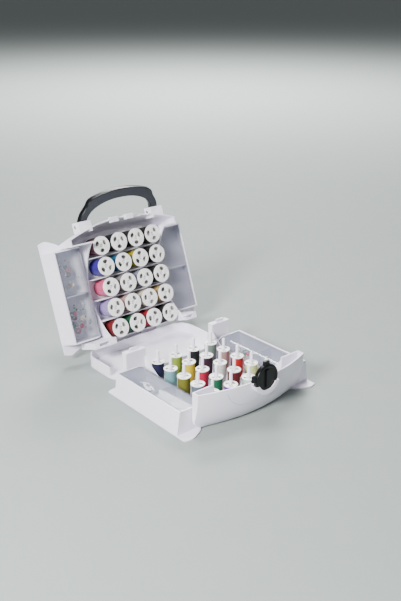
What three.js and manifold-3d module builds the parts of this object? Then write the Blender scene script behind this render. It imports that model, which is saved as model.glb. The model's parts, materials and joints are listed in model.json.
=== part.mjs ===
// Bobbin box: a folding sewing case, shown open. A base half and a lid half are joined by a spine
// shell with a pinned hinge along each edge. Each half holds twenty thread spools on a pegged rack
// and has a swing-out compartment with a clear cover on both sides.
// Millimetres, +Z up. The origin is under the middle of the base half, on the surface it stands on.
import * as THREE from 'three';
import { mergeVertices } from 'three/addons/utils/BufferGeometryUtils.js';
import Module from 'manifold-3d';

const wasm = await Module();
wasm.setup();

// ---- Driving dimensions -------------------------------------------------------------------------
const WALL = 2.4; // moulded wall
const GAP = 0.3; // between pieces that touch
const HALF_DEPTH = 67; // outer face to rim of one half
const RIM_GAP = 0.5; // between the two rims when the case is shut
const BODY_HALF_WIDTH = 114.1; // corner blocks and posts
const CASE_HALF_WIDTH = 117; // outside of the shut compartments
const CORNER_Y = 98; // corners of a half, from its middle
const ARCH_RISE = 22; // how far the end wall bows out past its corners
const ARCH_TUCK = 28; // how far the end wall curves in under the half
const BLOCK_BACK = 84.5; // inner face of the corner blocks
const BLOCK_LEAST = 88; // the end wall never tucks in past this
const POST_FRONT = 87;
const PIVOT_HOLE = 3.4;
const PIVOT_STUB = 3;
const SCOOP_RADIUS = 110;
const SCOOP_LOW = 16; // lowest point of the scooped side wall
const SCOOP_Y = 5;
const REAR_WALL = 20;

const HINGE_Y = 112; // pinned hinge, from the middle of a half
const HINGE_Z = 9;
const KNUCKLE_R = 5;
const HINGE_ROD_R = 1.8;
const HINGE_BORE_R = 2.1;
const HALF_KNUCKLES = [[-50, -20], [20, 50]];
const SPINE_KNUCKLES = [[-70, -50.6], [-19.4, 19.4], [50.6, 70]];
const SPINE_SPAN = 2 * HALF_DEPTH + RIM_GAP - 2 * HINGE_Z; // between the two hinge axes
const SPINE_HALF_WIDTH = 113;
const SPINE_RIM = 21;
const SPINE_CORNER = 30;
const LID_OPEN = THREE.MathUtils.degToRad(70.3); // the lid's lean, up from the floor

const WING_WIDTH = 66.6; // a compartment across, in its open position
const WING_LEAN = 6; // the outer panel leans in by this much at the top
const WING_HALF_LENGTH = 83;
const WING_LIP = 104; // end of the rounded lip, from the middle
const COVER = 1.6; // clear cover
const COVER_HINGE_R = 1.5;
const COVER_WRAP = 158; // the cover curls down round the pivot, to this angle

const RACK_Z = [2.7, 5.2];
const PEG_R = 2.8;
const SPOOL_Z = [5.6, 45];
const FLANGE = 2;
const ROWS = 5;
const COLUMNS = 4;

// Each half in its own frame. inner is where its compartments begin, on -x and +x, and well is the
// outside of the well's side walls. middle is the rack's middle.
const BASE = {
  inner: [76, 76], well: [76, 76], middle: [-3.5, 0], pitch: [38.8, 35], peg: 65, flange: 11.6, thread: 10.3,
};
const LID = {
  inner: [92, 76], well: [92, 72], middle: [-15.2, 0.8], pitch: [38, 38.2], peg: 44, flange: 17, thread: 15.4,
};

const LATCH_Z = 70;
const LATCH_R = 23.4;
const LATCH_Y = [-127.6, -122];
const LATCH_EAR_R = 29.5;
const CUP_R = 26; // the half cup under the latch, with a lip over the disc's edge
const CUP_LIP_R = 19;
const CUP_TOP = 61.5;
const LATCH_EARS = [90, 168]; // degrees round from +x
const HANDLE_X = 78;
const HANDLE_PIVOT = [-116, 51.5]; // y and z in the lid's own frame
const HANDLE_THICK = 10;
const HANDLE_SWING = THREE.MathUtils.degToRad(32); // at rest it lies forward, on the lugs' front walls
const LUG_TOP = -124;

// ---- Materials ----------------------------------------------------------------------------------
const material = (color, roughness = 0.5, extra = {}) =>
  new THREE.MeshStandardMaterial({ color, roughness, metalness: 0, ...extra });
const WHITE = material(0xe6e3ee, 0.45);
const FROSTED = material(0xdfe3e8, 0.15, { transparent: true, opacity: 0.35 });
const BLACK = material(0x17171a, 0.4);
const GREY = material(0x45474f, 0.5);
const STEEL = new THREE.MeshStandardMaterial({ color: 0xb8babd, roughness: 0.3, metalness: 1 });

// Thread colours, row by row from the hinge side, in columns from left to right.
const BASE_THREADS = [
  ['navy', 0x14163a], ['lime', 0x86a032], ['black', 0x101014], ['sage', 0x6f8077],
  ['teal', 0x6fa5ab], ['yellow', 0xd9c31c], ['plum', 0x2a1026], ['dusty_rose', 0xa5827e],
  ['olive', 0x6b6a1c], ['crimson', 0xb01338], ['white', 0xd8dad6], ['red', 0xb5121a],
  ['slate', 0x5d6875], ['green', 0x0f5c3c], ['maroon', 0x5a0d16], ['pale_lime', 0xd2dd8e],
  ['silver', 0xa9adb5], ['purple', 0x6a2a9e], ['mint', 0xb9d9c4], ['cream', 0xe2dcc6],
];
const LID_THREADS = [
  ['dark_red', 0x6e1418], ['bottle_green', 0x0f5038], ['scarlet', 0x9c1420], ['jet', 0x0e0e12],
  ['lavender', 0x9a86c0], ['rose_beige', 0xc49a94], ['ivory', 0xdcd6c2], ['tan', 0xb99a63],
  ['pink', 0xd2527e], ['taupe', 0x8c8484], ['lilac_grey', 0x8f8ea6], ['ebony', 0x131216],
  ['indigo', 0x2c1f7c], ['sea_blue', 0x1f5a76], ['mustard', 0xa89a1e], ['coal', 0x16151a],
  ['mauve', 0x8a5c68], ['midnight', 0x14161f], ['charcoal', 0x1a1a1d], ['brown_black', 0x1f1715],
];

// ---- Solids -------------------------------------------------------------------------------------
function solid(geometry) {
  geometry.deleteAttribute('normal');
  geometry.deleteAttribute('uv');
  const welded = mergeVertices(geometry, 1e-4);
  const vertProperties = new Float32Array(welded.attributes.position.array);
  const triVerts = new Uint32Array(welded.index.array);
  return new wasm.Manifold(new wasm.Mesh({ numProp: 3, vertProperties, triVerts }));
}

const join = (...parts) => parts.reduce((all, part) => all.add(part));
const cut = (body, ...tools) => tools.reduce((left, tool) => left.subtract(tool), body);

function geometryOf(body) {
  const { vertProperties, triVerts } = body.getMesh();
  const geometry = new THREE.BufferGeometry();
  geometry.setAttribute('position', new THREE.BufferAttribute(vertProperties, 3));
  geometry.setIndex(new THREE.BufferAttribute(triVerts, 1));
  geometry.computeVertexNormals();
  return geometry;
}

function box([x0, x1], [y0, y1], [z0, z1]) {
  const geometry = new THREE.BoxGeometry(x1 - x0, y1 - y0, z1 - z0);
  geometry.translate((x0 + x1) / 2, (y0 + y1) / 2, (z0 + z1) / 2);
  return solid(geometry);
}

const outline = (points) => new THREE.Shape(points.map(([a, b]) => new THREE.Vector2(a, b)));

function extruded(points, length, steps = 8) {
  const shape = Array.isArray(points) ? outline(points) : points;
  return new THREE.ExtrudeGeometry(shape, { depth: length, bevelEnabled: false, curveSegments: steps });
}

// Prisms of an outline in the XY, XZ and YZ planes, between two values of the third axis.
function prismZ(points, [z0, z1]) {
  const geometry = extruded(points, z1 - z0);
  geometry.translate(0, 0, z0);
  return solid(geometry);
}

function prismY(points, [y0, y1]) {
  const geometry = extruded(points, y1 - y0);
  geometry.rotateX(Math.PI / 2);
  geometry.translate(0, y1, 0);
  return solid(geometry);
}

function prismX(points, [x0, x1]) {
  const geometry = extruded(points, x1 - x0);
  geometry.rotateX(Math.PI / 2);
  geometry.rotateZ(Math.PI / 2);
  geometry.translate(x0, 0, 0);
  return solid(geometry);
}

// Points round part of a circle, with angles in degrees.
function arc(cx, cy, radius, from, to, steps) {
  const points = [];
  for (let i = 0; i <= steps; i += 1) {
    const angle = THREE.MathUtils.degToRad(from + ((to - from) * i) / steps);
    points.push([cx + radius * Math.cos(angle), cy + radius * Math.sin(angle)]);
  }
  return points;
}

const circle = (cx, cy, radius, steps = 16) => arc(cx, cy, radius, 0, 360 - 360 / steps, steps - 1);

// A closed solid through matching outlines, one for each height, lowest first.
function loft(sections) {
  const count = sections[0].points.length;
  const positions = sections.flatMap(({ z, points }) => points.flatMap(([x, y]) => [x, y, z]));
  const index = [];
  for (let s = 0; s + 1 < sections.length; s += 1) {
    for (let i = 0; i < count; i += 1) {
      const a = s * count + i;
      const b = s * count + ((i + 1) % count);
      index.push(a, b, b + count, a, b + count, a + count);
    }
  }
  const top = (sections.length - 1) * count;
  const cap = (points) => THREE.ShapeUtils.triangulateShape(points.map(([x, y]) => new THREE.Vector2(x, y)), []);
  cap(sections[0].points).forEach(([a, b, c]) => index.push(a, c, b));
  cap(sections.at(-1).points).forEach(([a, b, c]) => index.push(top + a, top + b, top + c));
  const geometry = new THREE.BufferGeometry();
  geometry.setAttribute('position', new THREE.Float32BufferAttribute(positions, 3));
  geometry.setIndex(index);
  return solid(geometry);
}

// ---- One half: end wall, well, corner blocks, posts ----------------------------------------------
// A compartment turns on a pivot that is as far from its outer panel as from the well's wall.
function pivotOf(inner) {
  const rise = (CASE_HALF_WIDTH - inner) / 2;
  return { x: inner + rise, z: rise };
}

// How wide a half is at a height: below the pivot its corner is rounded round the pivot.
function widthAt(inner, z) {
  const pivot = pivotOf(inner);
  const radius = BODY_HALF_WIDTH - pivot.x;
  if (z >= pivot.z) return BODY_HALF_WIDTH;
  if (z <= pivot.z - radius) return inner;
  return pivot.x + Math.sqrt(radius ** 2 - (pivot.z - z) ** 2);
}

function endWallAt(x, z) {
  const bow = ARCH_RISE * (1 - (x / BODY_HALF_WIDTH) ** 2);
  const drop = (HALF_DEPTH - Math.min(z, HALF_DEPTH)) / HALF_DEPTH;
  const tuck = ARCH_TUCK * (1 - Math.sqrt(1 - 0.95 * drop ** 2));
  return -Math.max(CORNER_Y + bow - tuck, BLOCK_LEAST);
}

function endWallSection([left, right], z, inset) {
  const low = -widthAt(left, z) + inset;
  const high = widthAt(right, z) - inset;
  const back = -BLOCK_BACK - inset;
  const steps = 20;
  const points = [];
  for (let i = 0; i <= steps; i += 1) {
    const x = low + ((high - low) * i) / steps;
    points.push([x, Math.min(endWallAt(x, z) + inset, back - 0.5)]);
  }
  points.push([high, back], [low, back]);
  return { z, points };
}

function endWall(inner) {
  const heights = [0, 4, 9, 15, 22, 31, 42, 54, HALF_DEPTH];
  const outside = loft(heights.map((z) => endWallSection(inner, z, 0)));
  const hollow = [WALL, ...heights.slice(1), HALF_DEPTH + 1];
  const inside = loft(hollow.map((z) => endWallSection(inner, z, WALL)));
  return outside.subtract(inside);
}

// The rim side of a post, block or side wall: everything inside the round corner, up to the rim.
function postProfile(inner, well) {
  const pivot = pivotOf(inner);
  const radius = BODY_HALF_WIDTH - pivot.x;
  return [
    [well - WALL, pivot.z - radius],
    ...arc(pivot.x, pivot.z, radius, -90, 0, 8),
    [BODY_HALF_WIDTH, HALF_DEPTH],
    [well - WALL, HALF_DEPTH],
  ];
}

const flipX = (points) => points.map(([x, y]) => [-x, y]).reverse();

function sideWall(well) {
  const wall = box([well - WALL, well], [-BLOCK_BACK, CORNER_Y], [0, HALF_DEPTH]);
  const centre = SCOOP_LOW + SCOOP_RADIUS;
  return wall.subtract(prismX(circle(SCOOP_Y, centre, SCOOP_RADIUS, 56), [well - 9, well + 9]));
}

function knuckle([x0, x1], y, z, towards) {
  const barrel = prismX(circle(y, z, KNUCKLE_R), [x0, x1]);
  const web = box([x0, x1], [Math.min(y, towards), Math.max(y, towards)], [z - KNUCKLE_R, z]);
  return barrel.add(web);
}

function hingeBore(y) {
  return prismX(circle(y, HINGE_Z, HINGE_BORE_R, 12), [-72, 72]);
}

function halfShell({ inner, well }) {
  const [left, right] = inner;
  const floor = box([-left, right], [-BLOCK_LEAST, CORNER_Y], [0, WALL]);
  const rear = box([-left, right], [CORNER_Y - WALL, CORNER_Y], [0, REAR_WALL]);
  const tongue = box([-60, 60], [CORNER_Y - 1, HINGE_Y - 5.5], [0, 6.5]);
  const posts = [
    prismY(postProfile(right, well[1]), [POST_FRONT, CORNER_Y]),
    prismY(flipX(postProfile(left, well[0])), [POST_FRONT, CORNER_Y]),
  ];
  const sides = [sideWall(well[1]), sideWall(well[0]).translate([-2 * well[0] + WALL, 0, 0])];
  const knuckles = HALF_KNUCKLES.map((span) => knuckle(span, HINGE_Y, HINGE_Z, CORNER_Y));
  const body = join(endWall(inner), floor, rear, tongue, ...posts, ...sides, ...knuckles);
  const pivots = [right, left].map((side, i) => {
    const { x, z } = pivotOf(side);
    return prismY(circle(i ? -x : x, z, PIVOT_HOLE), [-BLOCK_BACK - 9, CORNER_Y - 5]);
  });
  const between = [-well[0] + WALL, well[1] - WALL];
  const opening = box(between, [-BLOCK_LEAST - 1, -BLOCK_BACK + 1], [WALL, HALF_DEPTH + 1]);
  return cut(body, opening, ...pivots, hingeBore(HINGE_Y));
}

// The latch turns on a tongue that stands above the rim, and its lower edge sits in a half cup.
function baseShell() {
  const [front, back] = LATCH_Y;
  const cup = cut(
    prismY(circle(0, LATCH_Z, CUP_R, 48), [front - 2.7, -116.5]),
    prismY(circle(0, LATCH_Z, LATCH_R + GAP, 40), [front - GAP, back + GAP]),
    prismY(circle(0, LATCH_Z, CUP_LIP_R, 40), [front - 4, front]),
    box([-40, 40], [front - 4, back + GAP], [CUP_TOP, LATCH_Z + 40]),
    box([-40, 40], [back, -114], [HALF_DEPTH, LATCH_Z + 40]),
    box([-40, 40], [front - 4, -114], [HALF_DEPTH - 2, LATCH_Z + 40]),
  );
  const tongue = box([-7, 7], [-120.3, -117.6], [58, LATCH_Z + 7.5]);
  const bore = prismY(circle(0, LATCH_Z, PIVOT_HOLE), [-122, -113]);
  const behind = box([-8, 8], [-117.6, -112], [62, HALF_DEPTH + 1]);
  const tongues = [-95, 95].map((x) => box([x - 8, x + 8], [91, 93.6], [HALF_DEPTH - 1, HALF_DEPTH + 5]));
  return cut(join(halfShell(BASE), cup, tongue, ...tongues), bore, behind);
}

// One lug carries one end of the handle: two cheeks and a front wall that the handle rests on.
function handleLug(x) {
  const [, pivotZ] = HANDLE_PIVOT;
  const cheeks = [x - 10.5, x + 10.5].map((at) => (
    box([at - 2.2, at + 2.2], [LUG_TOP, -105], [pivotZ - 7, HALF_DEPTH - 0.2])
  ));
  const front = box([x - 12.7, x + 12.7], [LUG_TOP, -108], [HALF_DEPTH - 4, HALF_DEPTH - 0.2]);
  return join(front, ...cheeks);
}

// The rim of the lid's end wall is cut down on both sides of the raised tab over the latch.
function lidShell() {
  const rim = HALF_DEPTH - 0.2;
  const tab = box([-24, 24], [-121.4, -112], [HALF_DEPTH - 8, rim]);
  const notch = box([-8.5, 8.5], [-126, -110], [HALF_DEPTH - 11.5, HALF_DEPTH + 1]);
  const dips = [-43, 43].map((x) => box([x - 15, x + 15], [-126, -105], [HALF_DEPTH - 6, HALF_DEPTH + 1]));
  const slots = [-95, 95].map((x) => box([x - 10, x + 10], [90, 94.6], [HALF_DEPTH - 9, HALF_DEPTH + 1]));
  const bore = prismX(circle(...HANDLE_PIVOT, PIVOT_HOLE), [-95, 95]);
  const shell = cut(halfShell(LID), ...dips);
  return cut(join(shell, tab, handleLug(-HANDLE_X), handleLug(HANDLE_X)), notch, bore, ...slots);
}

// ---- Spine: the shallow shell that joins the two halves ------------------------------------------
function spineOutline(inset) {
  const half = SPINE_HALF_WIDTH - inset;
  const near = HINGE_Y + 6 + inset;
  const far = HINGE_Y + SPINE_SPAN - 6 - inset;
  const r = SPINE_CORNER - inset;
  return [
    ...arc(half - r, near + r, r, -90, 0, 7),
    ...arc(half - r, far - r, r, 0, 90, 7),
    ...arc(-half + r, far - r, r, 90, 180, 7),
    ...arc(-half + r, near + r, r, 180, 270, 7),
  ];
}

function spineShell() {
  const far = HINGE_Y + SPINE_SPAN;
  const body = prismZ(spineOutline(0), [0, SPINE_RIM]);
  const hollow = prismZ(spineOutline(WALL), [WALL, SPINE_RIM + 1]);
  const open = box([-200, 200], [HINGE_Y, HINGE_Y + 30], [WALL + 3, SPINE_RIM + 1]);
  const tray = cut(body, hollow, open);
  const knuckles = SPINE_KNUCKLES.flatMap((span) => [
    knuckle(span, HINGE_Y, HINGE_Z, HINGE_Y + 7.5),
    knuckle(span, far, HINGE_Z, far - 7.5),
  ]);
  return cut(join(tray, ...knuckles), hingeBore(HINGE_Y), hingeBore(far));
}

const hingeRod = () => prismX(circle(0, 0, HINGE_ROD_R, 12), [-69.5, 69.5]);

// ---- Compartments and their clear covers ----------------------------------------------------------
// Round the pivot at the back, flat below, and a panel that leans in at the outside.
function wingProfile(inner, inset) {
  const { x, z } = pivotOf(inner);
  const outer = inner + WING_WIDTH - inset;
  return [
    ...arc(x, z, z - 0.4 - inset, 90, 270, 16),
    [outer, 0.4 + inset],
    [outer - WING_LEAN, 2 * z - 0.4 - inset],
  ];
}

// The outer panel runs past both ends of the trough as a rounded lip.
function lip(inner) {
  const { x } = pivotOf(inner);
  const outer = inner + WING_WIDTH;
  const curve = new THREE.SplineCurve([
    [outer, WING_LIP - 3.5], [outer - 13, WING_LIP], [x + 20, WING_LIP - 5],
    [x + 6, WING_LIP - 13], [x + 0.5, WING_HALF_LENGTH],
  ].map(([a, b]) => new THREE.Vector2(a, b)));
  const end = curve.getPoints(12).map((p) => [p.x, p.y]);
  const other = end.map(([a, b]) => [a, -b]).reverse();
  return prismZ([...other, ...end], [0, WALL]);
}

const coverHinge = (inner) => {
  const { z } = pivotOf(inner);
  return [inner + WING_WIDTH - WING_LEAN - WALL - GAP - COVER_HINGE_R, 2 * z - 2.2];
};

function wing(inner) {
  const { x, z } = pivotOf(inner);
  const outer = inner + WING_WIDTH;
  const end = WING_HALF_LENGTH;
  const top = outer - WING_LEAN;
  const block = prismY(wingProfile(inner, 0), [-end, end]);
  const sill = box([x, outer], [-end, end], [0, 1]);
  const cavity = prismY(wingProfile(inner, WALL), [-end + WALL, end - WALL]);
  const mouth = prismY([
    ...arc(x, z, z + 1, 90, COVER_WRAP, 10),
    ...arc(x, z, z - 5, COVER_WRAP, 90, 10),
    [top - WALL, 2 * z - 5],
    [top - WALL, 2 * z + 1],
  ], [-end + WALL, end - WALL]);
  const divider = cut(
    box([inner + 4, outer - 1], [-0.8, 0.8], [1, 2 * z - 4.6]),
    prismY([...arc(x, z, z - 4.5, 180, 90, 10), [inner - 1, 2 * z], [inner - 1, z]], [-2, 2]),
    prismY([[top - 1.5, 2 * z], [outer - 1, 0], [outer + 5, 0], [outer + 5, 2 * z]], [-2, 2]),
  );
  const stubs = prismY(circle(x, z, PIVOT_STUB, 12), [-end - 3.2, end + 5.5]);
  const inside = prismY(circle(x, z, PIVOT_STUB + 1, 12), [-end + WALL, end - WALL]);
  const trough = cut(join(block, sill, lip(inner)), cavity, mouth);
  const catches = [-42, 42].map((y) => (
    box([top - 1.9, top - 0.2], [y - 4, y + 4], [2 * z - 1, 2 * z + 0.5])
  ));
  const body = join(trough, divider, ...catches, cut(stubs, inside));
  return cut(body, prismY(circle(...coverHinge(inner), COVER_HINGE_R + GAP, 12), [-end - 1, end + 1]));
}

// A clear sheet, flat on top and curled down at the back, on a rod along the outer panel.
function cover(inner) {
  const { x, z } = pivotOf(inner);
  const [hingeX, hingeZ] = coverHinge(inner);
  const end = WING_HALF_LENGTH - WALL - GAP;
  const sheet = prismY([
    ...arc(x, z, z - 0.6, 90, COVER_WRAP - 2, 12),
    ...arc(x, z, z - 0.6 - COVER, COVER_WRAP - 2, 90, 12),
    [hingeX, 2 * z - 0.6 - COVER],
    [hingeX, 2 * z - 0.6],
  ], [-end, end]);
  const rod = prismY(circle(hingeX, hingeZ, COVER_HINGE_R, 12), [-end - 2.2, end + 2.2]);
  return join(sheet, rod);
}

// ---- Spools and racks -------------------------------------------------------------------------
function gridOf({ middle, pitch }) {
  const places = [];
  for (let row = 0; row < ROWS; row += 1) {
    for (let column = 0; column < COLUMNS; column += 1) {
      const x = middle[0] + (column - (COLUMNS - 1) / 2) * pitch[0];
      const y = middle[1] + ((ROWS - 1) / 2 - row) * pitch[1];
      places.push([x, y]);
    }
  }
  return places;
}

function peg([x, y], height) {
  const profile = [[0, 4], [PEG_R, 4], [PEG_R, height - 2], [PEG_R * 0.7, height - 0.6], [0, height]];
  const geometry = new THREE.LatheGeometry(profile.map(([a, b]) => new THREE.Vector2(a, b)), 10);
  geometry.rotateX(Math.PI / 2);
  geometry.translate(x, y, 0);
  return solid(geometry);
}

function rack(half, ribbed) {
  const [left, right] = half.well;
  const across = [-left + WALL + GAP, right - WALL - GAP];
  const along = [-BLOCK_BACK - 1, CORNER_Y - WALL - GAP];
  const plate = box(across, along, RACK_Z);
  const ribs = [-1.5, -0.5, 0.5, 1.5].map((step) => {
    const y = half.middle[1] + step * half.pitch[1];
    return box(across, [y - 0.7, y + 0.7], [RACK_Z[1] - 1, 34]);
  });
  return join(plate, ...(ribbed ? ribs : []), ...gridOf(half).map((place) => peg(place, half.peg)));
}

function spoolGeometry({ flange, thread }) {
  const [low, high] = SPOOL_Z;
  const bore = PEG_R + 0.5;
  const profile = [
    [bore, low], [flange, low], [flange, low + FLANGE], [thread, low + FLANGE],
    [thread, high - FLANGE], [flange, high - FLANGE], [flange, high], [bore, high], [bore, low],
  ];
  const geometry = new THREE.LatheGeometry(profile.map(([a, b]) => new THREE.Vector2(a, b)), 12);
  geometry.rotateX(Math.PI / 2);
  return geometryOf(solid(geometry));
}

// ---- Latch and handle ---------------------------------------------------------------------------
function latch() {
  const [front, back] = LATCH_Y;
  const disc = prismY(circle(0, LATCH_Z, LATCH_R, 40), LATCH_Y);
  const ears = LATCH_EARS.map((degrees) => {
    const geometry = new THREE.BoxGeometry(14, back - front - 1.5, 11);
    geometry.translate(LATCH_EAR_R - 7, 0, 0);
    geometry.rotateY(THREE.MathUtils.degToRad(-degrees));
    geometry.translate(0, (front + back) / 2, LATCH_Z);
    return solid(geometry);
  });
  const grip = box([-3, 3], [front - 2.6, front + 1], [LATCH_Z - 15, LATCH_Z + 15]);
  const hub = prismY(circle(0, LATCH_Z, PIVOT_STUB, 12), [back - 1, -115.8]);
  const collar = prismY(circle(0, LATCH_Z, 5.5, 16), [-117.3, -115.6]);
  return join(disc, ...ears, grip, hub, collar);
}

function handle() {
  const [y, z] = HANDLE_PIVOT;
  const outerHalf = [[85, -y], [84.5, -y + 12], [80.5, -y + 26], [71, -y + 38], [61, -y + 49], [34, -y + 59]];
  const innerHalf = [[71.5, -y], [70.5, -y + 12], [64, -y + 25], [50, -y + 35], [28, -y + 43]];
  const across = (half, crown) => [...half, [0, crown], ...half.map(([a, b]) => [-a, b]).reverse()];
  const smooth = (points) => {
    const curve = new THREE.SplineCurve(points.map(([a, b]) => new THREE.Vector2(a, b)));
    return curve.getPoints(30).map((p) => [p.x, p.y]);
  };
  const bow = [...smooth(across(outerHalf, -y + 62.5)), ...smooth(across(innerHalf, -y + 45.5)).reverse()];
  const grip = prismZ(bow.map(([a, b]) => [a, -b]).reverse(), [z - HANDLE_THICK / 2, z + HANDLE_THICK / 2]);
  const eyes = [-HANDLE_X, HANDLE_X].map((x) => prismX(circle(y, z, HANDLE_THICK / 2), [x - 7, x + 7]));
  const pins = [-HANDLE_X, HANDLE_X].map((x) => prismX(circle(y, z, PIVOT_STUB, 12), [x - 11.5, x + 11.5]));
  const geometry = geometryOf(join(grip, ...eyes, ...pins));
  geometry.translate(0, -y, -z);
  geometry.rotateX(-HANDLE_SWING);
  geometry.translate(0, y, z);
  return geometry;
}

// ---- The assembly ---------------------------------------------------------------------------------
function named(name, body, finish) {
  const mesh = new THREE.Mesh(body.isBufferGeometry ? body : geometryOf(body), finish);
  mesh.name = name;
  return mesh;
}

// Twenty spools, named by row from the hinge side and by thread colour.
function spools(prefix, half, threads, turnedHalf) {
  const geometry = spoolGeometry(half);
  return gridOf(half).map(([x, y], i) => {
    const row = Math.floor(i / COLUMNS);
    const column = turnedHalf ? COLUMNS - 1 - (i % COLUMNS) : i % COLUMNS;
    const [name, color] = threads[row * COLUMNS + column];
    const mesh = named(`${prefix}_spool_${name}`, geometry, material(color, 0.8));
    mesh.position.set(x, y, 0);
    return mesh;
  });
}

function compartments(prefix, half, [negative, positive]) {
  const group = new THREE.Group();
  [[positive, half.inner[1], 0], [negative, half.inner[0], Math.PI]].forEach(([side, inner, spin]) => {
    const pair = new THREE.Group();
    pair.rotation.z = spin;
    pair.add(named(`${prefix}_${side}_compartment`, wing(inner), WHITE));
    pair.add(named(`${prefix}_${side}_cover`, cover(inner), FROSTED));
    group.add(pair);
  });
  return group;
}

const caseGroup = new THREE.Group();

const base = new THREE.Group();
base.add(named('base_shell', baseShell(), WHITE));
base.add(named('base_spool_rack', rack(BASE, false), WHITE));
base.add(...spools('base', BASE, BASE_THREADS, false));
base.add(compartments('base', BASE, ['left', 'right']));
base.add(named('latch_disc', latch(), BLACK));
const baseRod = named('base_hinge_rod', hingeRod(), STEEL);
baseRod.position.set(0, HINGE_Y, HINGE_Z);
base.add(baseRod);
caseGroup.add(base);

caseGroup.add(named('spine_shell', spineShell(), WHITE));

// The lid is turned half round, so that its hinge faces the spine, and leans back on it.
const lid = new THREE.Group();
const lean = new THREE.Group();
const middle = new THREE.Vector3(0, HINGE_Y, -HINGE_Z).applyAxisAngle(new THREE.Vector3(1, 0, 0), LID_OPEN);
lean.position.set(0, HINGE_Y + SPINE_SPAN + middle.y, HINGE_Z + middle.z);
lean.rotation.x = LID_OPEN;
lid.rotation.z = Math.PI;
lid.add(named('lid_shell', lidShell(), WHITE));
lid.add(named('lid_spool_rack', rack(LID, true), WHITE));
lid.add(...spools('lid', LID, LID_THREADS, true));
lid.add(compartments('lid', LID, ['right', 'left']));
lid.add(named('carry_handle', handle(), GREY));
const lidRod = named('lid_hinge_rod', hingeRod(), STEEL);
lidRod.position.set(0, HINGE_Y, HINGE_Z);
lid.add(lidRod);
lean.add(lid);
caseGroup.add(lean);

export default caseGroup;
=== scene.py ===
# %% [markdown]
# # Bobbin box
# A folding sewing case of white moulded plastic, lying open. Two halves are joined by a shallow spine.
# Each half has a rack of thread spools between two compartments that swing out.
# The solids that were packed from the CAD are the frame: they say where every piece goes, and how it
# moves. This file gives them finishes, rounds their moulded edges, and builds the finer pieces.

# %% Load the frame
import json
import math
import random
import bmesh
import bpy
from mathutils import Matrix, Vector


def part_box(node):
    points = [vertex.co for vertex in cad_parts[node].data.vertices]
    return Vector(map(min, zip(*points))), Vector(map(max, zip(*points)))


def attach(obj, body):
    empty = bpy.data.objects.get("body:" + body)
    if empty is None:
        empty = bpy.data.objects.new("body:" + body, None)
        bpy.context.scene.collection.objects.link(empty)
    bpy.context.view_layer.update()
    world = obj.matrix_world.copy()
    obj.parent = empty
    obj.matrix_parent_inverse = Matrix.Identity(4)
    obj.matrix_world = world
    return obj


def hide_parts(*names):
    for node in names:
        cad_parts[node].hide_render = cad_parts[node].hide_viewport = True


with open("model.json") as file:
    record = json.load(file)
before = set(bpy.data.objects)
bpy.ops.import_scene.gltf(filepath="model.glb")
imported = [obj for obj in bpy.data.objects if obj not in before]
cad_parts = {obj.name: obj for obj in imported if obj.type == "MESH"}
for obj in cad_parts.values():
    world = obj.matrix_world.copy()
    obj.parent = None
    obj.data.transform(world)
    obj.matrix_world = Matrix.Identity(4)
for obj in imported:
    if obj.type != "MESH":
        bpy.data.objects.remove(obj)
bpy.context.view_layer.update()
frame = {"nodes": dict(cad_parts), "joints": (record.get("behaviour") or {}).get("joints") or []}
MM = 0.001

# %% [markdown]
# The lid is made in its own flat frame, like the base, and then leaned back on its hinge. Working in
# that frame keeps the lid's numbers as simple as the base's, so one matrix per half is all that is
# needed to put a piece in its place.

# %% The two halves' frames
LID_LEAN = math.radians(70.3)
HINGE_IN_HALF = Vector((0, 112, 9)) * MM
joints = {joint["name"]: joint for joint in frame["joints"]}
lid_hinge = Vector(joints["lid_hinge"]["pos_m"])
BASE = Matrix.Identity(4)
LID = (
    Matrix.Translation(lid_hinge)
    @ Matrix.Rotation(LID_LEAN, 4, "X")
    @ Matrix.Rotation(math.pi, 4, "Z")
    @ Matrix.Translation(-HINGE_IN_HALF)
)
HALVES = {"base": BASE, "lid": LID}
print("lid's middle:", [round(value, 3) for value in LID.translation])

# %% [markdown]
# ## Materials
# Colours are written as sRGB hex values, as a colour chart gives them, and Blender's shaders work in
# linear light, so one function turns each into linear. Another small function adds a node with its
# settings and its links, which keeps every material short enough to read at once.

# %% Colour and node helpers
def linear(code):
    """An sRGB hex colour as linear RGBA."""
    channels = [int(code[i:i + 2], 16) / 255 for i in (0, 2, 4)]
    light = [c / 12.92 if c <= 0.04045 else ((c + 0.055) / 1.055) ** 2.4 for c in channels]
    return (*light, 1.0)


def add(tree, kind, settings=None, links=None):
    """Adds a node. A setting is an input's value or a property; a link is an input and its source."""
    node = tree.nodes.new(kind)
    for key, value in (settings or {}).items():
        if isinstance(key, str) and hasattr(node, key):
            setattr(node, key, value)
        else:
            node.inputs[key].default_value = value
    for key, source in (links or {}).items():
        tree.links.new(source, node.inputs[key])
    return node


def new_material(name, settings):
    """A material with its Principled shader set, its tree, and its object coordinates."""
    material = bpy.data.materials.new(name)
    material.use_nodes = True
    tree = material.node_tree
    shader = tree.nodes["Principled BSDF"]
    for key, value in settings.items():
        shader.inputs[key].default_value = value
    place = add(tree, "ShaderNodeTexCoord").outputs["Object"]
    return material, tree, shader, place


def per_metre(size_mm):
    """A noise scale whose features are about this many millimetres across."""
    return 1 / (size_mm * MM)

# %% [markdown]
# ### Moulded plastics
# The shells are injection-moulded polypropylene. The steel mould is spark-eroded, which leaves a fine
# satin grain about 0.2 mm across, drawn here at 1.1 mm so that it shows. Flow in the mould leaves broad,
# very faint differences of tone, and handling leaves patches that are a little shinier. So there are
# three noises: tone, shine and grain. The handle and latch are black and grey ABS with the same grain.

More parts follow.
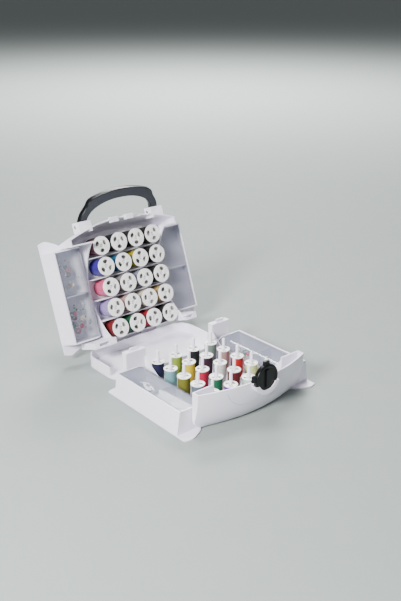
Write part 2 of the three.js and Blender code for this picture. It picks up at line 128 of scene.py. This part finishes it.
# %% Moulded plastic
def moulded(name, colours, ior, roughness, grain_mm, grain_depth):
    """Injection-moulded plastic: colours are the light and dark ends of its tone."""
    material, tree, shader, place = new_material(name, {"IOR": ior})
    flow = add(tree, "ShaderNodeTexNoise", {"Scale": per_metre(45), "Detail": 3.0}, {"Vector": place})
    tone = add(tree, "ShaderNodeMix", {"data_type": "RGBA", 6: linear(colours[0]), 7: linear(colours[1])},
               {0: flow.outputs["Fac"]})
    wear = add(tree, "ShaderNodeTexNoise", {"Scale": per_metre(14), "Detail": 5.0}, {"Vector": place})
    shine = add(tree, "ShaderNodeMapRange", {3: roughness - 0.07, 4: roughness + 0.09},
                {0: wear.outputs["Fac"]})
    grain = add(tree, "ShaderNodeTexNoise", {"Scale": per_metre(grain_mm), "Detail": 2.0}, {"Vector": place})
    bump = add(tree, "ShaderNodeBump", {"Strength": 0.35, "Distance": grain_depth * MM},
               {"Height": grain.outputs["Fac"]})
    tree.links.new(tone.outputs[2], shader.inputs["Base Color"])
    tree.links.new(shine.outputs[0], shader.inputs["Roughness"])
    tree.links.new(bump.outputs[0], shader.inputs["Normal"])
    return material


SHELL = moulded("polypropylene_moulded_white", ("EDEAF3", "E0DCEA"), 1.49, 0.38, 1.1, 0.05)
SPOOL_WHITE = moulded("polystyrene_moulded_spool", ("F3F2F0", "E6E5E2"), 1.59, 0.3, 1.3, 0.03)
ABS_BLACK = moulded("abs_moulded_black", ("0A0B0E", "060608"), 1.35, 0.34, 1.0, 0.05)
ABS_GREY = moulded("abs_textured_grey", ("33353D", "2B2D34"), 1.45, 0.55, 0.9, 0.12)
# The engraved line's grey is painted shade of its groove.
GROOVE_SHADE = moulded("polypropylene_groove_painted_shade", ("B9B8C2", "AFAEB9"), 1.49, 0.6, 1.1, 0.05)

# %% [markdown]
# ### Clear covers
# The covers are moulded clear polystyrene, polished in the mould. A sheet this thin hardly bends what is
# seen through it, so most of its surface simply lets light past. It is most visible where it is seen
# at a grazing angle, at its thick edges and where fine scratches catch the light, so its alpha follows
# the angle and its roughness follows the scratches. Its grey-blue colour is a painted reflection of the
# surroundings, which shows most where the alpha rises at grazing angles.

# %% Clear polystyrene
def clear_styrene():
    """Clear moulded sheet with soft ripples and hairline scratches, tinted grey-blue as a painted
    reflection.
    """
    # The grey-blue base colour is painted reflection, not a tint of the plastic.
    settings = {"Base Color": linear("6F7987"), "IOR": 1.59}
    material, tree, shader, place = new_material("polystyrene_moulded_clear", settings)
    ripple = add(tree, "ShaderNodeTexNoise", {"Scale": per_metre(22), "Detail": 1.0}, {"Vector": place})
    hair = add(tree, "ShaderNodeTexNoise", {"Scale": per_metre(1.6), "Detail": 6.0}, {"Vector": place})
    shine = add(tree, "ShaderNodeMapRange", {1: 0.5, 2: 0.8, 3: 0.05, 4: 0.22}, {0: hair.outputs["Fac"]})
    bump = add(tree, "ShaderNodeBump", {"Strength": 0.25, "Distance": 0.4 * MM},
               {"Height": ripple.outputs["Fac"]})
    facing = add(tree, "ShaderNodeLayerWeight", {"Blend": 0.35})
    # Alpha rises towards grazing angles, where the painted reflection shows most.
    body = add(tree, "ShaderNodeMapRange", {3: 0.16, 4: 0.62}, {0: facing.outputs["Facing"]})
    tree.links.new(body.outputs[0], shader.inputs["Alpha"])
    tree.links.new(shine.outputs[0], shader.inputs["Roughness"])
    tree.links.new(bump.outputs[0], shader.inputs["Normal"])
    return material


CLEAR = clear_styrene()

# %% [markdown]
# ### Steel rods
# The hinge rods are drawn wire: bright steel with fine lines along its length, from the die.

# %% Drawn steel
def drawn_steel():
    """Bright wire with die lines along X."""
    material, tree, shader, place = new_material(
        "steel_drawn_wire", {"Base Color": linear("B9BBBE"), "Metallic": 1.0})
    along = add(tree, "ShaderNodeMapping", {"Scale": (0.03, 1.0, 1.0)}, {"Vector": place})
    lines = add(tree, "ShaderNodeTexNoise", {"Scale": per_metre(0.5), "Detail": 4.0},
                {"Vector": along.outputs[0]})
    shine = add(tree, "ShaderNodeMapRange", {3: 0.2, 4: 0.42}, {0: lines.outputs["Fac"]})
    bump = add(tree, "ShaderNodeBump", {"Strength": 0.2, "Distance": 0.03 * MM},
               {"Height": lines.outputs["Fac"]})
    tree.links.new(shine.outputs[0], shader.inputs["Roughness"])
    tree.links.new(bump.outputs[0], shader.inputs["Normal"])
    return material


STEEL = drawn_steel()

# %% [markdown]
# ### Wound thread
# Spun polyester sewing thread is about 0.25 mm thick and is wound in a close, nearly level helix that
# crosses itself. The turns are drawn 0.9 mm apart so that they show. A wave along the spool's axis
# makes the turns, and a noise bends them, because no winding is even. Deep grooves between turns hold
# shade, so the groove colour is a darker mix. Sheen gives the soft edge light of loose fibres.

# %% Thread
TURN_MM = 0.9


def thread(name, code):
    """Polyester thread of one colour, wound round the object's Z axis."""
    settings = {"IOR": 1.45, "Roughness": 0.7, "Sheen Weight": 0.06, "Sheen Roughness": 0.4,
                "Specular IOR Level": 0.3}
    material, tree, shader, place = new_material("polyester_thread_" + name, settings)
    wave = add(tree, "ShaderNodeTexWave",
               {"bands_direction": "Z", "Scale": 0.314 * per_metre(TURN_MM), "Distortion": 1.1,
                "Detail": 2.0, "Detail Scale": 1.4}, {"Vector": place})
    cross = add(tree, "ShaderNodeTexNoise", {"Scale": per_metre(5), "Detail": 4.0}, {"Vector": place})
    light = linear(code)
    dark = tuple(channel * 0.45 for channel in light[:3]) + (1.0,)
    groove = add(tree, "ShaderNodeMix", {"data_type": "RGBA", 6: dark, 7: light},
                 {0: wave.outputs["Fac"]})
    worn = add(tree, "ShaderNodeMix", {"data_type": "RGBA", "blend_type": "MULTIPLY",
                                       0: 0.3}, {6: groove.outputs[2], 7: cross.outputs["Color"]})
    bump = add(tree, "ShaderNodeBump", {"Strength": 0.8, "Distance": 0.22 * MM},
               {"Height": wave.outputs["Fac"]})
    tree.links.new(worn.outputs[2], shader.inputs["Base Color"])
    tree.links.new(bump.outputs[0], shader.inputs["Normal"])
    return material


THREADS = {
    "base_spool_navy": "191B44", "base_spool_lime": "93AC3A", "base_spool_black": "15151A",
    "base_spool_sage": "7F9087", "base_spool_teal": "7FB4BA", "base_spool_yellow": "E6CF1E",
    "base_spool_plum": "35152F", "base_spool_dusty_rose": "B4908B", "base_spool_olive": "7A7822",
    "base_spool_crimson": "C4163F", "base_spool_white": "E6E8E4", "base_spool_red": "C4151E",
    "base_spool_slate": "687484", "base_spool_green": "0F6A45", "base_spool_maroon": "66101A",
    "base_spool_pale_lime": "DCE797", "base_spool_silver": "B4B8C0", "base_spool_purple": "7B2FB4",
    "base_spool_mint": "C3E3CE", "base_spool_cream": "ECE6D0",
    "lid_spool_dark_red": "86161C", "lid_spool_bottle_green": "12633E", "lid_spool_scarlet": "B01A26",
    "lid_spool_jet": "141418", "lid_spool_lavender": "AC98D2", "lid_spool_rose_beige": "D9AFA6",
    "lid_spool_ivory": "E8E2CC", "lid_spool_tan": "CDAC70", "lid_spool_pink": "E45C8A",
    "lid_spool_taupe": "9C9494", "lid_spool_lilac_grey": "9F9EB6", "lid_spool_ebony": "18171C",
    "lid_spool_indigo": "341F90", "lid_spool_sea_blue": "1F6A90", "lid_spool_mustard": "BFB01E",
    "lid_spool_coal": "1B1A20", "lid_spool_mauve": "93606E", "lid_spool_midnight": "1A1B28",
    "lid_spool_charcoal": "202024", "lid_spool_brown_black": "241B19",
}
print("thread colours:", len(THREADS))

# %% [markdown]
# ## Pieces on bodies
# Every made piece enters the scene the same way: it takes its materials and its place, and then rides
# on the body that carries it.

# %% Put a piece in the scene
def shown(name, data, body, *materials, place=None):
    """Puts a mesh or curve in the scene on a body, at a place if one is given."""
    obj = bpy.data.objects.new(name, data)
    bpy.context.scene.collection.objects.link(obj)
    for material in materials:
        data.materials.append(material)
    if place is not None:
        obj.matrix_world = place
    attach(obj, body)
    return obj

# %% [markdown]
# ## Rounded moulded pieces
# A moulded edge is never sharp: the mould has a small radius, which catches a line of light. The packed
# solids have sharp edges, so each shown piece is a copy of its solid with its triangles merged back
# into whole faces and a narrow bevel on the edges. The copy replaces the solid, which stays in place
# for collision.

# %% Bevelled copies of the solids
SHELL_RADIUS = 0.45
COVER_RADIUS = 0.3
LATCH_RADIUS = 0.7


def rounded(node, body, material, radius_mm):
    """A copy of a solid with rounded edges, in place of it."""
    bm = bmesh.new()
    bm.from_mesh(frame["nodes"][node].data)
    bmesh.ops.remove_doubles(bm, verts=bm.verts, dist=0.002 * MM)
    flat = math.radians(0.6)
    bmesh.ops.dissolve_limit(bm, angle_limit=flat, verts=bm.verts, edges=bm.edges)
    mesh = bpy.data.meshes.new(node + "_moulded")
    bm.to_mesh(mesh)
    bm.free()
    mesh.materials.clear()
    mesh.shade_smooth()
    mesh.set_sharp_from_angle(angle=math.radians(28))
    obj = shown(node + "_moulded", mesh, body, material)
    bevel = obj.modifiers.new("mould radius", "BEVEL")
    bevel.width = radius_mm * MM
    bevel.segments = 2
    bevel.limit_method = "ANGLE"
    bevel.angle_limit = math.radians(40)
    bevel.harden_normals = True
    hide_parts(node)
    return obj


for half in ("base", "lid"):
    rounded(half + "_shell", half, SHELL, SHELL_RADIUS)
    for side in ("left", "right"):
        rounded(f"{half}_{side}_compartment", f"{half}_{side}_bin", SHELL, SHELL_RADIUS)
        rounded(f"{half}_{side}_cover", f"{half}_{side}_cover", CLEAR, COVER_RADIUS)
rounded("spine_shell", "spine", SHELL, SHELL_RADIUS)
rounded("latch_disc", "latch", ABS_BLACK, LATCH_RADIUS)
for rod in ("base_hinge_rod", "lid_hinge_rod"):
    mesh = frame["nodes"][rod].data
    mesh.materials.clear()
    mesh.materials.append(STEEL)

# %% [markdown]
# ## Turned shapes
# Spools and pegs are round, so each is one outline turned about an axis. The outline is a list of
# radii and heights, and the rings between them are joined by faces. Closed outlines make closed bodies.

# %% Turn an outline
def turn(bm, outline, centre=(0, 0, 0), steps=40, slot=0):
    """Turns a closed outline of (radius, height) in mm about Z into bm."""
    rings = []
    for i in range(steps):
        angle = 2 * math.pi * i / steps
        ring = [
            bm.verts.new(Vector((r * math.cos(angle), r * math.sin(angle), z)) * MM + Vector(centre) * MM)
            for r, z in outline
        ]
        rings.append(ring)
    count = len(outline)
    for i in range(steps):
        here, there = rings[i], rings[(i + 1) % steps]
        for k in range(count):
            corners = (here[k], there[k], there[(k + 1) % count], here[(k + 1) % count])
            face = bm.faces.new(corners)
            face.material_index = slot
            face.smooth = True


def finished(bm, name, sharp=35):
    """Closes bm into a mesh with its normals out."""
    bmesh.ops.remove_doubles(bm, verts=bm.verts, dist=0.001 * MM)
    bmesh.ops.recalc_face_normals(bm, faces=bm.faces)
    mesh = bpy.data.meshes.new(name)
    bm.to_mesh(mesh)
    bm.free()
    mesh.set_sharp_from_angle(angle=math.radians(sharp))
    return mesh

# %% [markdown]
# ## Spool ends
# Each end of a spool is a thin disc with three rounded windows between its spokes, which save plastic
# and let the moulded barrel cool evenly. A flat curve with inner loops fills as a disc with holes, and
# its bevel gives the round edges in one step.

# %% A disc with windows
SPOOL_BORE = 3.3
DISC_THICK = 1.5


def rounded_loop(points, passes=2):
    """Cuts the corners of a closed loop, once for each pass, so that it reads as a curve."""
    for _ in range(passes):
        cut = []
        for a, b in zip(points, points[1:] + points[:1]):
            cut.append((0.75 * a[0] + 0.25 * b[0], 0.75 * a[1] + 0.25 * b[1]))
            cut.append((0.25 * a[0] + 0.75 * b[0], 0.25 * a[1] + 0.75 * b[1]))
        points = cut
    return points


def circle(radius, steps=40):
    return [(radius * math.cos(2 * math.pi * i / steps), radius * math.sin(2 * math.pi * i / steps))
            for i in range(steps)]


def sheet_of(name, loops, thickness, edge):
    """A flat plate in the XY plane with the first loop outside and the rest as holes, sizes in mm."""
    curve = bpy.data.curves.new(name, "CURVE")
    curve.dimensions = "2D"
    curve.fill_mode = "BOTH"
    curve.extrude = (thickness / 2 - edge) * MM
    curve.bevel_depth = edge * MM
    curve.bevel_resolution = 2
    curve.offset = -edge * MM
    for loop in loops:
        spline = curve.splines.new("POLY")
        spline.points.add(len(loop) - 1)
        for point, (x, y) in zip(spline.points, loop):
            point.co = (x * MM, y * MM, 0, 1)
        spline.use_cyclic_u = True
    holder = bpy.data.objects.new(name, curve)
    bpy.context.scene.collection.objects.link(holder)
    bpy.context.view_layer.update()
    mesh = bpy.data.meshes.new_from_object(holder.evaluated_get(bpy.context.evaluated_depsgraph_get()))
    bpy.data.objects.remove(holder)
    return mesh


def spool_end(radius):
    """A spool's end disc, with three windows whose corners are given as shares of its radius."""
    windows = []
    for turn_of in (90, 210, 330):
        corners = []
        for reach, spread in ((0.26, 0), (0.48, -30), (0.7, -28), (0.77, 0), (0.7, 28), (0.48, 30)):
            angle = math.radians(turn_of + spread)
            corners.append((radius * reach * math.cos(angle), radius * reach * math.sin(angle)))
        windows.append(rounded_loop(corners))
    return sheet_of("spool_end", [circle(radius), circle(SPOOL_BORE, 20), *windows], DISC_THICK, 0.3)

# %% [markdown]
# ## Spools
# A spool is a hollow barrel with a disc at each end and thread wound between them. The winding bulges
# slightly in the middle and rounds off next to the discs. The barrel is open behind the windows, which
# is why they look dark.

# %% Build a spool
SPOOL_TALL = 39.4
SIZES = {"base": (11.6, 10.3), "lid": (17.0, 15.5)}
ENDS = {half: spool_end(radius) for half, (radius, _) in SIZES.items()}


def tube(inner, outer, half_tall):
    """The outline of a plain tube."""
    return [(inner, -half_tall), (outer, -half_tall), (outer, half_tall), (inner, half_tall)]


def spool(node, half):
    """One spool, made upright about its own middle, then laid on its solid's place."""
    radius, wound = SIZES[half]
    barrel = 0.8 * radius
    top = SPOOL_TALL / 2 - DISC_THICK
    bm = bmesh.new()
    winding = [(barrel, -top), (wound - 0.9, -top), (wound - 0.2, -top + 1.2)]
    for i in range(1, 8):
        z = -top + 1.2 + (2 * top - 2.4) * i / 8
        winding.append((wound - 0.2 + 0.3 * math.sin(math.pi * i / 8), z))
    winding += [(wound - 0.2, top - 1.2), (wound - 0.9, top), (barrel, top)]
    turn(bm, winding, slot=0)
    turn(bm, tube(barrel - 0.9, barrel - 0.05, top), slot=1)
    turn(bm, tube(SPOOL_BORE, SPOOL_BORE + 0.8, top), steps=20, slot=1)
    lip = [(radius - 0.9, 0), (radius - 0.1, 0), (radius, 0.4),
           (radius - 0.3, 0.75), (radius - 0.9, 0.75)]
    for side in (-1, 1):
        before = set(bm.verts)
        faces_before = set(bm.faces)
        bm.from_mesh(ENDS[half])
        moved = [vert for vert in bm.verts if vert not in before]
        bmesh.ops.translate(bm, verts=moved, vec=(0, 0, side * (SPOOL_TALL / 2 - 0.95) * MM))
        for face in bm.faces:
            if face not in faces_before:
                face.material_index = 1
                face.smooth = True
        ring = [(r, side * (SPOOL_TALL / 2 - 0.75 + z)) for r, z in lip]
        turn(bm, ring, slot=1)
    low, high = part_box(node)
    place = Matrix.Translation((low + high) / 2) @ HALVES[half].to_3x3().to_4x4()
    spin = random.Random(node).uniform(0, 2 * math.pi / 3)
    mesh = finished(bm, node + "_wound")
    obj = shown(node + "_wound", mesh, half, thread(node, THREADS[node]), SPOOL_WHITE,
                place=place @ Matrix.Rotation(spin, 4, "Z"))
    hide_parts(node)
    return obj


for node in THREADS:
    spool(node, node.split("_")[0])
print("spools:", len(THREADS))

# %% [markdown]
# ## Racks
# Each rack is a moulded plate that clips over the floor of its half. A round-tipped peg stands up
# through every spool. In the lid the spools lie nearly level, so thin ribs between the rows hold them.
# Pegs are turned, and the plate and ribs are boxes with rounded edges, all in one piece.

# %% Build the racks
RACKS = {
    "base": {"well": (76, 76), "middle": (-3.5, 0), "pitch": (38.8, 35.0), "peg": 65, "ribs": 0},
    "lid": {"well": (92, 72), "middle": (-15.2, 0.8), "pitch": (38.0, 38.2), "peg": 44, "ribs": 4},
}
WALL = 2.4
WALL_GAP = 0.4
RIB_HALF_THICK = 0.65


def slab(bm, low, high, edge=0.35):
    """A box between two corners in mm, with rounded edges."""
    made = bmesh.ops.create_cube(bm, size=1)["verts"]
    size = [(b - a) * MM for a, b in zip(low, high)]
    middle = [(a + b) / 2 * MM for a, b in zip(low, high)]
    bmesh.ops.transform(bm, verts=made, matrix=Matrix.Translation(middle) @ Matrix.Diagonal((*size, 1)))
    edges = list({line for vert in made for line in vert.link_edges})
    bmesh.ops.bevel(bm, geom=edges, offset=edge * MM, segments=2, affect="EDGES", profile=0.5)


def rack(half):
    """One half's rack: its plate, its ribs and its twenty pegs."""
    facts = RACKS[half]
    left = -facts["well"][0] + WALL + WALL_GAP
    right = facts["well"][1] - WALL - WALL_GAP
    bm = bmesh.new()
    slab(bm, (left, -85.3, 2.8), (right, 95.1, 5.1))
    for step in range(facts["ribs"]):
        y = facts["middle"][1] + (step - 1.5) * facts["pitch"][1]
        slab(bm, (left, y - RIB_HALF_THICK, 5.0), (right, y + RIB_HALF_THICK, 33.8))
    tall = facts["peg"]
    for row in range(5):
        for column in range(4):
            x = facts["middle"][0] + (column - 1.5) * facts["pitch"][0]
            y = facts["middle"][1] + (2 - row) * facts["pitch"][1]
            peg = [(0.01, 5), (4.6, 5), (4.4, 5.5), (2.8, 5.5), (2.7, tall - 2), (2.4, tall - 1),
                   (1.7, tall - 0.35), (0.8, tall - 0.05), (0.01, tall - 0.02)]
            turn(bm, peg, (x, y, 0), steps=20)
    mesh = finished(bm, half + "_spool_rack_moulded")
    obj = shown(mesh.name, mesh, half, SHELL, place=HALVES[half])
    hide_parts(half + "_spool_rack")
    return obj


for half in RACKS:
    rack(half)
print("racks:", len(RACKS))

# %% [markdown]
# ## Handle
# The handle is a bowed band with square shoulders, moulded in grey with a black edge. It is one flat
# outline given a thickness, so a filled curve makes it, and the faces that don't face squarely forward
# or back take the black. It swings on pins between two cheeks of the lid.

# %% Build the handle
HANDLE_PIVOT = Vector((0, -116, 51.5)) * MM
HANDLE_SWING = math.radians(32)
HANDLE_THICK = 9.8
HANDLE_REACH = 78
EYE_RADIUS = 4.9
EYE_HALF = 6.8
PIN_RADIUS = 2.9
PIN_HALF = 11.3


def handle():
    """The band from one flat outline, with a round eye and a pin at each end."""
    outer = [(85, -2), (84.6, 10), (82, 21), (77, 30), (71, 38), (68.5, 45.5), (63, 51), (48, 55.8),
             (30, 59.8), (12, 62)]
    inner = [(71.2, -2), (70.4, 10), (67, 20), (59, 29.5), (46, 37), (30, 42.4), (12, 45)]
    mirrored = [(-x, y) for x, y in reversed(outer)]
    back = [(-x, y) for x, y in inner]
    loop = outer + mirrored + back + list(reversed(inner))
    mesh = sheet_of("carry_handle_moulded", [rounded_loop(loop, 1)], HANDLE_THICK, 1.2)
    bm = bmesh.new()
    bm.from_mesh(mesh)
    for face in bm.faces:
        face.material_index = 0 if abs(face.normal.z) > 0.999 else 1
        face.smooth = False
    for side in (-1, 1):
        before = set(bm.verts)
        eye = [(0.01, -EYE_HALF), (EYE_RADIUS - 0.5, -EYE_HALF), (EYE_RADIUS, 0.5 - EYE_HALF),
               (EYE_RADIUS, EYE_HALF - 0.5), (EYE_RADIUS - 0.5, EYE_HALF), (0.01, EYE_HALF)]
        turn(bm, eye, steps=28, slot=1)
        turn(bm, tube(0.01, PIN_RADIUS, PIN_HALF), steps=16, slot=1)
        new = [vert for vert in bm.verts if vert not in before]
        across = Matrix.Translation((side * HANDLE_REACH * MM, 0, 0)) @ Matrix.Rotation(math.pi / 2, 4, "Y")
        bmesh.ops.transform(bm, verts=new, matrix=across)
    made = finished(bm, "carry_handle_moulded", 30)
    away = Matrix.Rotation(math.pi, 4, "X")
    swung = Matrix.Rotation(-HANDLE_SWING, 4, "X") @ away
    obj = shown(made.name, made, "handle", ABS_GREY, ABS_BLACK,
                place=LID @ Matrix.Translation(HANDLE_PIVOT) @ swung)
    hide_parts("carry_handle")
    return obj


handle()
print("handle swung forward:", round(math.degrees(HANDLE_SWING)), "degrees")

# %% [markdown]
# ## Cover clips
# Each cover turns in two small clips on its compartment's outer panel. A clip is part of a ring round
# the cover's hinge line, on its outer side only, so the cover can rise past it.

# %% Build the clips
def ring_part(inner, outer, first, last, steps=10):
    """The outline of part of a ring, from one angle in degrees to another."""
    angles = [math.radians(first + (last - first) * i / steps) for i in range(steps + 1)]
    far = [(outer * math.cos(angle), outer * math.sin(angle)) for angle in angles]
    near = [(inner * math.cos(angle), inner * math.sin(angle)) for angle in reversed(angles)]
    return far + near


CLIP_LONG = 9
CLIP_REACH = 42
CLIP = sheet_of("cover_clip", [ring_part(1.9, 3.1, -75, 22)], CLIP_LONG, 0.25)
CLIP.materials.append(SHELL)
for half, place in HALVES.items():
    opening = (place.to_3x3() @ Vector((0, 0, 1))).normalized()
    for side in ("left", "right"):
        hinge = Vector(joints[f"{half}_{side}_cover_swing"]["pos_m"])
        outward = Vector((math.copysign(1, hinge.x), 0, 0))
        along = outward.cross(opening)
        turned = Matrix((outward, opening, along)).transposed().to_4x4()
        for reach in (-CLIP_REACH, CLIP_REACH):
            spot = Matrix.Translation(hinge + along * reach * MM)
            shown(f"{half}_{side}_cover_clip", CLIP, f"{half}_{side}_bin", place=spot @ turned)
print("cover clips:", CLIP.users)

# %% [markdown]
# ## Latch face
# The latch disc has a raised bead round its edge, a shallow dish inside it, and a bar across the middle
# to turn it by. The bead and dish are one turned outline laid on the disc's front.

# %% Build the latch face
LATCH_MIDDLE = Vector((0, -127.6, 70)) * MM
dish = bmesh.new()
turn(dish, [(0.01, -0.5), (17.6, -0.5), (18.6, 0.5), (19.2, 1.3), (20.6, 1.6), (21.6, 1.3), (22.4, 0.4),
            (22.6, -0.5), (22.6, -1.5), (0.01, -1.5)], steps=64)
shown("latch_face", finished(dish, "latch_face", 60), "latch", ABS_BLACK,
      place=Matrix.Translation(LATCH_MIDDLE) @ Matrix.Rotation(math.pi / 2, 4, "X"))
print("latch face: bead 1.6 mm high")

# %% [markdown]
# ## Engraved arc
# A fine engraved arc runs across the base's end wall to the left of the latch. Its groove is drawn as a
# thin grey cord of painted shade, partly sunk into the wall and following the wall's bow, so that only a
# hairline of it shows.

# %% Engrave the arc
HALF_DEPTH = 67
WALL_AT_CORNER = 98
WALL_BOW = 22
WALL_HALF_WIDTH = 114.1
WALL_TUCK = 28


def wall_front(x, z):
    """The end wall's outer face, as the base shell has it: bowed across, and tucked in lower down."""
    bow = WALL_BOW * (1 - (x / WALL_HALF_WIDTH) ** 2)
    drop = (HALF_DEPTH - z) / HALF_DEPTH
    return -(WALL_AT_CORNER + bow - WALL_TUCK * (1 - math.sqrt(1 - 0.95 * drop ** 2)))


def engraved_arc(middle_x, middle_z, radius, first, last, depth=0.12, thick=0.35):
    """Part of a circle laid on the end wall, between two angles in degrees, sizes in mm."""
    curve = bpy.data.curves.new("engraved_arc", "CURVE")
    curve.dimensions = "3D"
    curve.bevel_depth = thick * MM
    spline = curve.splines.new("POLY")
    steps = 48
    spline.points.add(steps)
    for i, point in enumerate(spline.points):
        angle = math.radians(first + (last - first) * i / steps)
        x = middle_x + radius * math.cos(angle)
        z = middle_z + radius * math.sin(angle)
        point.co = (x * MM, (wall_front(x, z) + depth) * MM, z * MM, 1)
    # The cord takes the groove's painted shade.
    return shown("engraved_arc", curve, "base", GROOVE_SHADE)


ARC_RADIUS = 40
engraved_arc(-29, 71, ARC_RADIUS, 197, 312)
print("engraved arc: radius", ARC_RADIUS, "mm")

# %% [markdown]
# ## Loose notions
# Under the clear covers lie beads, buttons and pins. Each heap is one mesh of many small shapes, laid
# at random from a fixed seed, so that every run gives the same heap. A heap is named for the part of
# its compartment that it lies in.

# %% Heaps of notions
PIN_LONG = 28
NOTIONS = {
    "red": moulded("acrylic_beads_red", ("C8384A", "A82A44"), 1.49, 0.2, 1.5, 0.02),
    "rose": moulded("acrylic_beads_rose", ("E3A7A8", "D68F98"), 1.49, 0.2, 1.5, 0.02),
    "cream": moulded("urea_buttons_cream", ("EADFC8", "DCCCB0"), 1.55, 0.25, 1.5, 0.02),
    "green": moulded("acrylic_beads_green", ("4D8F68", "3C7A58"), 1.49, 0.2, 1.5, 0.02),
    "blue": moulded("acrylic_beads_blue", ("8FA6BC", "6E8AA6"), 1.49, 0.2, 1.5, 0.02),
    "steel": STEEL,
}


def heap(name, body, half, low, high, colours, count):
    """Beads, buttons and pins between two corners in mm of a half's own frame."""
    chance = random.Random(name)
    bm = bmesh.new()
    for _ in range(count):
        slot = chance.randrange(len(colours))
        before = set(bm.verts)
        kind = chance.choice(("bead", "button", "pin"))
        if kind == "bead":
            size = chance.uniform(1.4, 2.4)
            turn(bm, [(0.5, -size / 2), (size * 0.8, -size / 2), (size, 0), (size * 0.8, size / 2),
                      (0.5, size / 2)], steps=12, slot=slot)
        elif kind == "button":
            size = chance.uniform(3.5, 6)
            turn(bm, [(0.8, 0), (size * 0.9, 0), (size, 0.6), (size * 0.9, 1.4), (size * 0.7, 1.0),
                      (0.8, 0.9)], steps=18, slot=slot)
        else:
            turn(bm, [(0.01, 0), (0.35, 2), (0.35, 26), (0.01, 26)], steps=6, slot=len(colours) - 1)
            turn(bm, [(0.01, 26), (1.2, 26.6), (1.6, 27.6), (1.2, 28.6), (0.01, 29)], steps=10, slot=slot)
        new = [vert for vert in bm.verts if vert not in before]
        spot = Vector([chance.uniform(a, b) for a, b in zip(low, high)]) * MM
        lean = Matrix.Rotation(chance.uniform(0, 2 * math.pi), 4, "Z")
        tip = math.pi / 2 if kind == "pin" else chance.uniform(-0.5, 0.5)
        middle = Matrix.Translation((0, 0, -PIN_LONG / 2 * MM if kind == "pin" else 0))
        place = Matrix.Translation(spot) @ lean @ Matrix.Rotation(tip, 4, "X") @ middle
        bmesh.ops.transform(bm, verts=new, matrix=place)
    return shown(name, finished(bm, name), body, *[NOTIONS[colour] for colour in colours],
                 place=HALVES[half])


HEAPS = [
    ("lid_left_notions_high", "lid_left_bin", "lid", (100, -62, 12), (126, -14, 30),
     ("rose", "cream", "steel"), 26),
    ("lid_left_notions_low", "lid_left_bin", "lid", (100, 20, 12), (126, 64, 30),
     ("red", "green", "cream", "rose", "steel"), 44),
    ("base_left_notions_back", "base_left_bin", "base", (-126, 18, 8), (-98, 66, 20),
     ("blue", "steel"), 30),
    ("base_left_notions_front", "base_left_bin", "base", (-126, -66, 8), (-98, -18, 20),
     ("blue", "steel"), 30),
    ("base_right_notions", "base_right_bin", "base", (98, 18, 8), (126, 66, 18),
     ("green", "red", "cream", "steel"), 24),
]
for facts in HEAPS:
    heap(*facts)
print("heaps of notions:", len(HEAPS))

# %% [markdown]
# ## Floor, light and camera
# A plain pale floor runs to the horizon. A large soft light on the left is the key, so faces that turn
# left are the brightest. A broad light overhead and a weak one on the right open the shadows. One more
# light, behind the case and pointed down in a wide soft pool, brightens the floor towards the horizon.

# %% Floor
FLOOR_REACH = 30
floor_mesh = bpy.data.meshes.new("floor")
corners = [(x * FLOOR_REACH, y * FLOOR_REACH, 0) for x, y in ((-1, -1), (1, -1), (1, 1), (-1, 1))]
floor_mesh.from_pydata(corners, [], [(0, 1, 2, 3)])
floor = bpy.data.objects.new("floor", floor_mesh)
bpy.context.scene.collection.objects.link(floor)
floor_mesh.materials.append(moulded("paper_matt_grey", ("8F9794", "8B9390"), 1.45, 0.8, 1.4, 0.02))

# %% Light and camera
def soft_light(name, spot, aim, size, watts, spread=180):
    """A round soft light at a spot, aimed at another, with its spread in degrees."""
    lamp = bpy.data.lights.new(name, "AREA")
    lamp.shape = "DISK"
    lamp.size = size
    lamp.energy = watts
    lamp.spread = math.radians(spread)
    obj = bpy.data.objects.new(name, lamp)
    bpy.context.scene.collection.objects.link(obj)
    obj.location = spot
    obj.rotation_euler = (Vector(aim) - Vector(spot)).to_track_quat("-Z", "Y").to_euler()
    return obj


soft_light("key", (-1.5, -0.5, 1.0), (0, 0.05, 0.08), 0.5, 86)
soft_light("overhead", (0.2, 0.4, 1.6), (0, 0.1, 0.05), 0.7, 28)
soft_light("fill", (0.9, -1.7, 1.1), (0, 0, 0.08), 1.0, 5)
soft_light("backdrop", (2.4, 3.0, 3.0), (2.5, 3.1, 0), 2.0, 420, spread=150)

world = bpy.data.worlds.new("studio")
bpy.context.scene.world = world
world.use_nodes = True
world.node_tree.nodes["Background"].inputs["Color"].default_value = linear("E4E6EA")
world.node_tree.nodes["Background"].inputs["Strength"].default_value = 0.3

lens = bpy.data.cameras.new("camera")
lens.sensor_fit = "HORIZONTAL"
lens.sensor_width = 36
lens.lens = 71.1
lens.clip_end = 100
camera = bpy.data.objects.new("camera", lens)
bpy.context.scene.collection.objects.link(camera)
camera.location = (-0.7772, -0.8943, 0.6366)
camera.rotation_euler = (math.radians(68.08), 0, math.radians(-40))
bpy.context.scene.camera = camera
print("camera:", [round(value, 2) for value in camera.location])

# %% [markdown]
# ## Finish
# The view layer is updated once more.

# %% Finish
bpy.context.view_layer.update()
